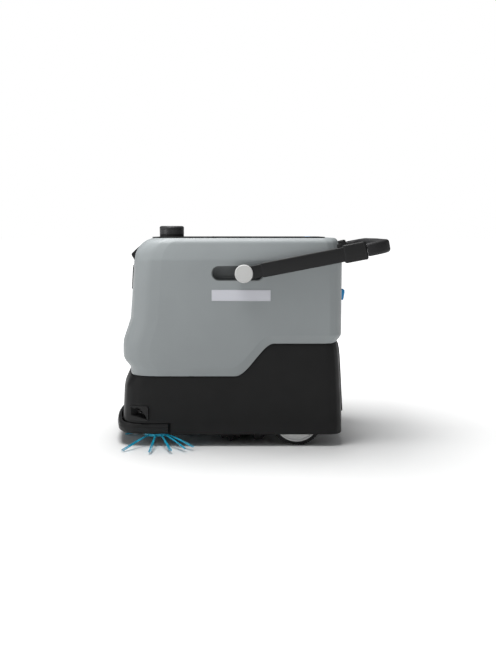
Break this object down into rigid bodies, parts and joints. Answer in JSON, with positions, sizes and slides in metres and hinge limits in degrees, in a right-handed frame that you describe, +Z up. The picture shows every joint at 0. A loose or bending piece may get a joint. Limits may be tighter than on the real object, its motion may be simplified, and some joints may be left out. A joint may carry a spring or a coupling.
{
  "type": "compact floor-cleaning robot",
  "caption": "Compact commercial floor-cleaning robot with a grey housing, black base, blue side brushes, a scanning turret and a sliding, tilting pull handle.",
  "frame": {"origin": "on the floor, under the middle of the overall length and width", "axes": "+X towards the rear and the grip, -X the driving direction, -Y the machine's left side, +Z up"},
  "size_m": [0.7432, 0.6302, 0.585],
  "materials": {
    "grey_shell": "fine-grained moulded grey plastic, satin",
    "black_shell": "black moulded plastic, satin",
    "dark_trim": "charcoal moulded plastic, satin",
    "black_glass": "smoked gloss window plastic",
    "rubber": "black rubber, matt",
    "tyre": "black tyre rubber, matt",
    "light_cap": "light grey moulded plastic, satin",
    "blue_trim": "blue moulded plastic, semi-gloss",
    "blue_bristle": "blue nylon bristle",
    "aluminium": "satin cast or extruded aluminium",
    "steel": "zinc-plated steel",
    "brass": "bare brass contact strip",
    "tank": "translucent-looking blow-moulded polyethylene"
  },
  "bodies": {
    "chassis": {"top_shell": "grey_shell", "slot_liner_left": "grey_shell", "slot_liner_right": "grey_shell", "base_shell": "black_shell", "camera_housing": "black_shell", "suction_duct": "black_shell", "battery_pack": "black_shell", "rear_cover": "dark_trim", "top_panel": "dark_trim", "corner_sensor_left": "dark_trim", "corner_sensor_right": "dark_trim", "side_brush_motor_left": "dark_trim", "side_brush_motor_right": "dark_trim", "brush_deck": "dark_trim", "vacuum_hose": "dark_trim", "vacuum_housing": "dark_trim", "front_fascia": "black_glass", "camera_window": "black_glass", "brush_belt": "rubber", "squeegee_blade": "rubber", "brush_motor": "aluminium", "squeegee_holder": "aluminium", "control_box": "aluminium", "chassis_plate": "steel", "hinge_pin": "steel", "wheel_bracket_left": "steel", "wheel_bracket_right": "steel", "charge_contacts": "brass", "clean_tank": "tank"},
    "bumper": {"front_bumper": "dark_trim"},
    "lidar": {"lidar_head": "black_glass"},
    "lid": {"tank_lid": "dark_trim"},
    "power_button": {"power_button": "blue_trim"},
    "drawer": {"recovery_tank": "tank", "drawer_face": "grey_shell"},
    "latch": {"drawer_latch": "blue_trim"},
    "handle_carriage": {"handle_slider_left": "aluminium", "handle_slider_right": "aluminium"},
    "handle": {"handle_arm_left": "dark_trim", "handle_arm_right": "dark_trim"},
    "grip": {"grip_frame": "aluminium", "handle_grip": "rubber"},
    "pivot_button_left": {"pivot_button_left": "light_cap"},
    "pivot_button_right": {"pivot_button_right": "light_cap"},
    "grip_release_left": {"grip_release_left": "dark_trim"},
    "grip_release_right": {"grip_release_right": "dark_trim"},
    "side_brush_left": {"side_brush_hub_left": "black_shell", "side_brush_tufts_left": "blue_bristle"},
    "side_brush_right": {"side_brush_hub_right": "black_shell", "side_brush_tufts_right": "blue_bristle"},
    "main_brush": {"main_brush_core": "black_shell", "main_brush_bristles": "black_shell"},
    "drive_pulley": {"drive_pulley": "aluminium"},
    "wheel_left": {"tyre_left": "tyre", "wheel_disc_left": "light_cap"},
    "wheel_right": {"tyre_right": "tyre", "wheel_disc_right": "light_cap"},
    "caster_fork": {"caster_fork": "steel"},
    "caster_wheel": {"caster_wheel": "rubber"},
    "impeller": {"vacuum_impeller": "aluminium"}
  },
  "joints": [
    {"name": "bumper_press", "type": "slide", "parent": "chassis", "child": "bumper", "axis": [1, 0, 0], "range_m": [0, 0.0045], "stiffness_N_per_m": 900, "springref_m": -0.002},
    {"name": "lidar_spin", "type": "hinge", "parent": "chassis", "child": "lidar", "pos_m": [-0.2194, 0, 0.567], "axis": [0, 0, 1], "continuous": true},
    {"name": "lid_open", "type": "hinge", "parent": "chassis", "child": "lid", "pos_m": [-0.1054, 0, 0.5537], "axis": [0, -1, 0], "range_deg": [0, 85]},
    {"name": "power_press", "type": "slide", "parent": "chassis", "child": "power_button", "axis": [0, 0, -1], "range_m": [0, 0.0025], "stiffness_N_per_m": 400, "springref_m": -0.001},
    {"name": "drawer_slide", "type": "slide", "parent": "chassis", "child": "drawer", "axis": [1, 0, 0], "range_m": [0, 0.17]},
    {"name": "latch_pull", "type": "hinge", "parent": "drawer", "child": "latch", "pos_m": [0.2518, -0.115, 0.411], "axis": [0, -1, 0], "range_deg": [0, 30], "stiffness_Nm_per_rad": 0.04, "springref_deg": -11.46},
    {"name": "handle_slide", "type": "slide", "parent": "chassis", "child": "handle_carriage", "axis": [1, 0, 0], "range_m": [-0.065, 0.0335]},
    {"name": "handle_tilt", "type": "hinge", "parent": "handle_carriage", "child": "handle", "pos_m": [-0.0142, 0, 0.461], "axis": [0, -1, 0], "range_deg": [0, 64]},
    {"name": "grip_extend", "type": "slide", "parent": "handle", "child": "grip", "axis": [0.982, 0, 0.1891], "range_m": [0, 0.15]},
    {"name": "pivot_press_left", "type": "slide", "parent": "handle", "child": "pivot_button_left", "axis": [0, 1, 0], "range_m": [0, 0.003], "stiffness_N_per_m": 400, "springref_m": -0.001},
    {"name": "pivot_press_right", "type": "slide", "parent": "handle", "child": "pivot_button_right", "axis": [0, -1, 0], "range_m": [0, 0.003], "stiffness_N_per_m": 400, "springref_m": -0.001},
    {"name": "release_press_left", "type": "slide", "parent": "handle", "child": "grip_release_left", "axis": [0.1891, 0, -0.982], "range_m": [0, 0.003], "stiffness_N_per_m": 400, "springref_m": -0.001},
    {"name": "release_press_right", "type": "slide", "parent": "handle", "child": "grip_release_right", "axis": [0.1891, 0, -0.982], "range_m": [0, 0.003], "stiffness_N_per_m": 400, "springref_m": -0.001},
    {"name": "side_brush_spin_left", "type": "hinge", "parent": "chassis", "child": "side_brush_left", "pos_m": [-0.2474, -0.175, 0.031], "axis": [-0.0349, 0, 0.9994], "continuous": true},
    {"name": "side_brush_spin_right", "type": "hinge", "parent": "chassis", "child": "side_brush_right", "pos_m": [-0.2474, 0.175, 0.031], "axis": [-0.0349, 0, 0.9994], "continuous": true},
    {"name": "main_brush_spin", "type": "hinge", "parent": "chassis", "child": "main_brush", "pos_m": [-0.0504, 0, 0.038], "axis": [0, 1, 0], "continuous": true},
    {"name": "drive_pulley_spin", "type": "hinge", "parent": "chassis", "child": "drive_pulley", "pos_m": [-0.0504, 0, 0.112], "axis": [0, 1, 0], "continuous": true},
    {"name": "wheel_spin_left", "type": "hinge", "parent": "chassis", "child": "wheel_left", "pos_m": [0.1266, -0.19, 0.07], "axis": [0, 1, 0], "continuous": true},
    {"name": "wheel_spin_right", "type": "hinge", "parent": "chassis", "child": "wheel_right", "pos_m": [0.1266, 0.19, 0.07], "axis": [0, 1, 0], "continuous": true},
    {"name": "caster_swivel", "type": "hinge", "parent": "chassis", "child": "caster_fork", "pos_m": [-0.2754, 0, 0.047], "axis": [0, 0, 1], "continuous": true},
    {"name": "caster_roll", "type": "hinge", "parent": "caster_fork", "child": "caster_wheel", "pos_m": [-0.2634, 0, 0.0205], "axis": [0, 1, 0], "continuous": true},
    {"name": "impeller_spin", "type": "hinge", "parent": "chassis", "child": "impeller", "pos_m": [-0.2004, 0, 0.267], "axis": [0, 0, 1], "continuous": true}
  ],
  "couplings": [
    {"joint": "drive_pulley_spin", "follows": "main_brush_spin", "ratio": 2}
  ]
}
